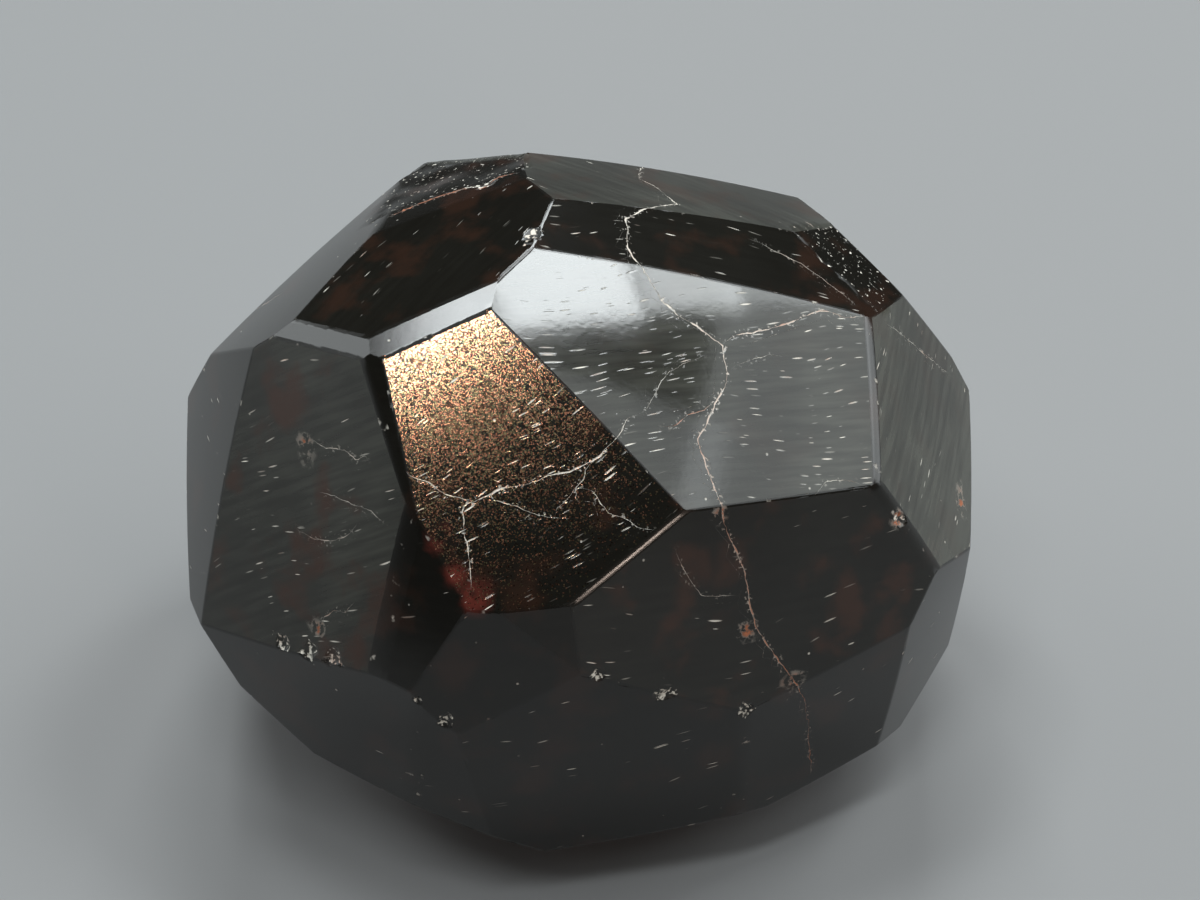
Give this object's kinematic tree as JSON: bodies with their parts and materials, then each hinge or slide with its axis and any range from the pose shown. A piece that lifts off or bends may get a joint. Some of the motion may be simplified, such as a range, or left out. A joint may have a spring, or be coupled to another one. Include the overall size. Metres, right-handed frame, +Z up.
{
  "type": "garnet crystal",
  "caption": "Dark red-brown garnet crystal, hand-polished and many-faced, a loose specimen that rests on its flat base.",
  "frame": {"origin": "centre of the stone's bounding box, on the plane of its flat base", "axes": "+Z up from the base; +X along the stone's longest extent, so the large bronze face looks towards -Y"},
  "size_m": [0.0446, 0.0424, 0.0367],
  "materials": {
    "garnet": "near-black red-brown garnet, polished, with fine cracks, pale flecks and rust stains"
  },
  "bodies": {
    "root": {"garnet_crystal": "garnet"}
  },
  "joints": []
}
